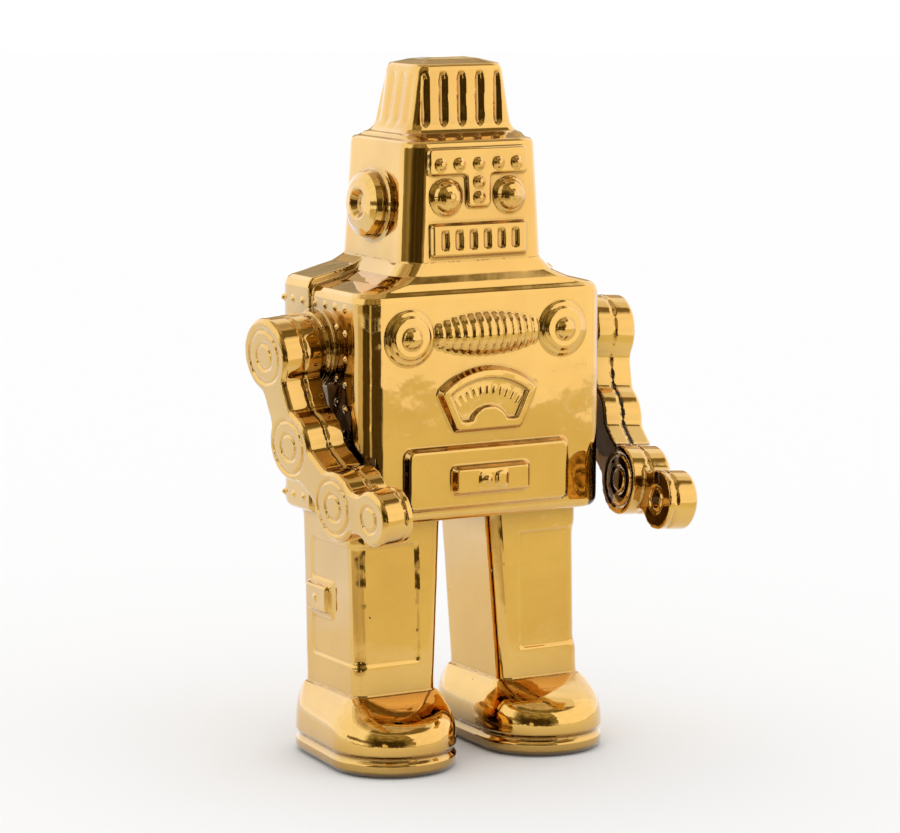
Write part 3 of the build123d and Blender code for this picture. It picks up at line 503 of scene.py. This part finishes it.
def outer_shell(mesh):
    """Only the largest connected part: walls of cavities and stray cells go."""
    edges = edge_ends(mesh)
    label = np.arange(len(mesh.vertices))
    while True:
        lower = np.minimum(label[edges[:, 0]], label[edges[:, 1]])
        before = label.copy()
        np.minimum.at(label, edges[:, 0], lower)
        np.minimum.at(label, edges[:, 1], lower)
        label = label[label]
        if np.array_equal(before, label):
            break
    names, sizes = np.unique(label, return_counts=True)
    if len(names) > 1:
        form = bmesh.new()
        form.from_mesh(mesh)
        form.verts.ensure_lookup_table()
        gone = [form.verts[i] for i in np.flatnonzero(label != names[np.argmax(sizes)])]
        bmesh.ops.delete(form, geom=gone, context="VERTS")
        form.to_mesh(mesh)
        form.free()
    return mesh


def cad_surface():
    """All castings' CAD triangles in one tree, with their corners, normals and casting's number."""
    corners, normals, casting = [], [], []
    for number, names in enumerate(CASTINGS.values()):
        for name in names:
            cad = nodes[name].data
            places = vectors(cad.vertices, "co")
            corners.append(places[corners_of(cad)])
            normals.append(vectors(cad.corner_normals, "vector").reshape(-1, 3, 3))
            casting.append(np.full(len(cad.polygons), number))
    corners, normals = np.concatenate(corners), np.concatenate(normals)
    flat = corners.reshape(-1, 3)
    tree = BVHTree.FromPolygons(flat.tolist(), np.arange(len(flat)).reshape(-1, 3).tolist())
    return tree, corners, normals, np.concatenate(casting)


def shares_of(points, corners):
    """Barycentric shares of points in their triangles."""
    a, b, c = corners[:, 0], corners[:, 1], corners[:, 2]
    ab, ac, ap = b - a, c - a, points - a
    d00, d01, d11 = (ab * ab).sum(1), (ab * ac).sum(1), (ac * ac).sum(1)
    d20, d21 = (ap * ab).sum(1), (ap * ac).sum(1)
    area = np.maximum(d00 * d11 - d01 * d01, 1e-24)
    v = (d11 * d20 - d01 * d21) / area
    w = (d00 * d21 - d01 * d20) / area
    return np.stack([1 - v - w, v, w], axis=1)


def ramp(values, low, high):
    """0 at low, 1 at high."""
    return np.clip((values - low) / (high - low), 0, 1)


def neighbours(mesh):
    """Function that gives each vertex the mean of its neighbours' values."""
    one, other = edge_ends(mesh).T
    count = len(mesh.vertices)
    degree = np.bincount(one, minlength=count) + np.bincount(other, minlength=count)

    def around(values):
        return (np.bincount(one, values[other], count)
                + np.bincount(other, values[one], count)) / degree

    return around


def within(places, name):
    """Which places lie inside this node's box."""
    low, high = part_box(name)
    return ((places > low) & (places < high)).all(1)


def on_upper(places, side):
    """1 on the shoe's upper, falling to 0 towards the welt and the leg."""
    low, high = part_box(f"shoe_{side}")
    leg = vectors(nodes[f"leg_{side}"].data.vertices, "co")
    foot = leg[leg[:, 2] < high.z + 2 * MM]
    beyond = np.maximum(foot.min(0) - places, places - foot.max(0))[:, :2].max(1)
    inside = ((places[:, :2] > low[:2]) & (places[:, :2] < high[:2])).all(1)
    inside &= places[:, 2] < high.z + MM
    return inside * ramp(places[:, 2], *UPPER_LEVELS) * ramp(beyond, *UPPER_GAPS)


def softening(mesh, places):
    """Share of each softening pass that each vertex gets."""
    turned = np.abs(vectors(mesh.vertices, "normal"))
    torso_low, torso_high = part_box("torso_shell")
    outside = np.maximum(torso_low.x - places[:, 0], places[:, 0] - torso_high.x)
    share = np.zeros(len(places))
    for side in ("left", "right"):
        arm = within(places, f"arm_{side}") & (outside > ARM_CLEARANCE)
        share = np.maximum(share, arm * ARM_SOFTNESS * ramp(-turned[:, 0], -0.95, -0.7))
        leg = within(places, f"leg_{side}") & (places[:, 2] < torso_low.z)
        leg &= places[:, 2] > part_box(f"shoe_{side}")[1].z
        share = np.maximum(share, leg * LEG_SOFTNESS * ramp(turned[:, :2].min(1), 0.2, 0.5))
    around = neighbours(mesh)
    for _ in range(SOFT_REACH):
        share = np.maximum(share, around(share))
    for side in ("left", "right"):
        share = np.maximum(share, on_upper(places, side))
    flutes = within(places, "crown_cap") * FLUTE_SOFTNESS * ramp(turned[:, 0], 0.35, 0.6)
    return np.maximum(share, flutes)


def soften(mesh):
    """Rounds shoe uppers, side flutes, arms' rims and legs' edges further; gives the shares."""
    places = vectors(mesh.vertices, "co")
    share = softening(mesh, places)
    edges = edge_ends(mesh)
    edges = edges[(share[edges] > 0).any(1)]
    used, local = np.unique(edges, return_inverse=True)
    one, other = local.reshape(-1, 2).T
    count, moved, pull = len(used), places[used], share[used][:, None]
    degree = (np.bincount(one, minlength=count) + np.bincount(other, minlength=count))[:, None]
    for _ in range(SOFT_PASSES):
        around = np.stack([
            np.bincount(one, column[other], count) + np.bincount(other, column[one], count)
            for column in moved.T
        ], axis=1)
        moved = moved + 0.5 * pull * (around / degree - moved)
    places[used] = moved
    mesh.vertices.foreach_set("co", places.ravel().astype(np.float32))
    mesh.update()
    return share


def wave_modifiers():
    """Displacements for the slow and the quick waves."""
    waves = []
    for name, height, length in WAVES:
        clouds = bpy.data.textures.new(name, "CLOUDS")
        clouds.noise_scale = length
        waves.append(("DISPLACE", {"texture": clouds, "strength": 2 * height, "mid_level": 0.5}))
    return waves


def lookup_of(mesh):
    """Finds the vertex that is nearest to a place."""
    lookup = KDTree(len(mesh.vertices))
    for i, vertex in enumerate(mesh.vertices):
        lookup.insert(vertex.co, i)
    lookup.balance()
    return lookup


def glaze_skin():
    """The fused and softened surface in triangles; its normals, looks and castings' numbers."""
    waves = wave_modifiers()
    cell = VOXEL
    fine = outer_shell(evaluated(all_castings(), ("REMESH", {"mode": "VOXEL", "voxel_size": cell})))
    fine = evaluated(fine, ("SMOOTH", {"factor": 0.5, "iterations": SKIN_SMOOTHING}))
    soft = soften(fine)
    still, even = vectors(fine.vertices, "co"), vectors(fine.vertices, "normal")
    hollows = groove_depth(fine, still, even)
    fine = evaluated(fine, *waves)
    wavy = vectors(fine.vertices, "normal")
    lookup = lookup_of(fine)
    coarse = evaluated(
        fine,
        ("TRIANGULATE", {}),
        ("DECIMATE", {"ratio": SKIN_SHARE, "use_collapse_triangulate": True}),
    )
    nearest = np.array([lookup.find(vertex.co)[1] for vertex in coarse.vertices])
    still, even, wavy, soft = still[nearest], even[nearest], wavy[nearest], soft[nearest]
    tree, corners, cad_normals, casting = cad_surface()
    hits = [tree.find_nearest(place) for place in still.tolist()]
    face = np.array([hit[2] for hit in hits])
    shares = shares_of(np.array([hit[0][:] for hit in hits]), corners[face])
    smooth = unit(np.einsum("ij,ijk->ik", shares, cad_normals[face]))
    limit = math.cos(math.radians(TRUST_ANGLE))
    trust = np.clip(((smooth * even).sum(1) - limit) / (1 - limit), 0, 1)[:, None] ** 0.5
    trust *= 1 - soft[:, None]
    normals = unit(trust * smooth + (1 - trust) * even + wavy - even)
    owner = casting[face]
    looks = {"groove": hollows[nearest], "gap_shade": bare_and_shaded_gap(still, normals, owner)}
    return coarse, normals, looks, owner


def bare_and_shaded_gap(places, normals, owner):
    """1 in the narrow gaps behind the arms, below their bosses: bare glaze where no lustre was
    brushed, made near-black as painted shade between the parts.
    """
    torso, *arms = [
        list(CASTINGS).index(name) for name in ("torso_glaze", "arm_left_glaze", "arm_right_glaze")
    ]
    trees = {}
    for number, name in zip((torso, *arms), ("torso_shell", "arm_left", "arm_right")):
        cad = nodes[name].data
        trees[number] = BVHTree.FromPolygons(
            [vertex.co[:] for vertex in cad.vertices], [tuple(face.vertices) for face in cad.polygons]
        )
    found = np.zeros(len(places))
    low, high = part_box("torso_shell")
    middle = (low.x + high.x) / 2
    near = (owner == torso) | np.isin(owner, arms)
    near &= (places[:, 2] < GAP_SHADE_TOP) & (np.abs(normals[:, 0]) > FACING)
    for i in np.flatnonzero(near):
        side = 1 if places[i, 0] > middle else -1
        if owner[i] == torso:
            way, other = side, arms[0] if side > 0 else arms[1]
        else:
            way, other = -side, torso
        if normals[i, 0] * way > FACING:
            start = Vector(places[i]) + Vector((way * MM, 0, 0))
            hit = trees[other].ray_cast(start, Vector((way, 0, 0)), GAP_SHADE_REACH)[0]
            if hit is not None:
                found[i] = min(1, (GAP_SHADE_TOP - places[i, 2]) / GAP_SHADE_FADE)
    return found


def groove_depth(mesh, places, normals):
    """How deep each vertex lies below its surroundings, 0 to 1."""
    around = neighbours(mesh)
    mean = np.stack([around(around(column)) for column in places.T], axis=1)
    depth = ((mean - places) * normals).sum(1)
    return np.clip(around(depth) / GROOVE_DEPTH, 0, 1)


def part_skin(mesh, normals, looks, owner, material):
    """Parts the skin into one closed piece for each casting; shading runs on over the joints."""
    places, triangles = vectors(mesh.vertices, "co"), corners_of(mesh)
    face_owner = np.sort(owner[triangles], axis=1)[:, 1]  # what most of its corners belong to
    for number, (name, replaced) in enumerate(CASTINGS.items()):
        mine = triangles[face_owner == number]
        used, local = np.unique(mine, return_inverse=True)
        part = bpy.data.meshes.new(name)
        part.from_pydata(places[used].tolist(), [], local.reshape(-1, 3).tolist())
        form = bmesh.new()
        form.from_mesh(part)
        rims = [edge for edge in form.edges if edge.is_boundary]
        bmesh.ops.holes_fill(form, edges=rims, sides=0)
        form.to_mesh(part)
        form.free()
        part.polygons.foreach_set("use_smooth", np.ones(len(part.polygons), bool))
        part.normals_split_custom_set_from_vertices(normals[used].tolist())
        for look, amounts in looks.items():
            amount = part.attributes.new(look, "FLOAT", "POINT")
            amount.data.foreach_set("value", amounts[used].astype(np.float32))
        part.materials.append(material)
        piece = bpy.data.objects.new(name, part)
        bpy.context.collection.objects.link(piece)
        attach(piece, "root")
        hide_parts(*replaced)


bpy.context.scene.view_settings.view_transform = "Standard"
add_camera()
add_floor()
add_world()
for screen in SCREENS:
    add_screen(*screen)
for mat in MATS:
    add_mat(*mat)

part_skin(*glaze_skin(), gold_glaze())
for pad in PADS:
    nodes[pad].data.materials[0] = felt()
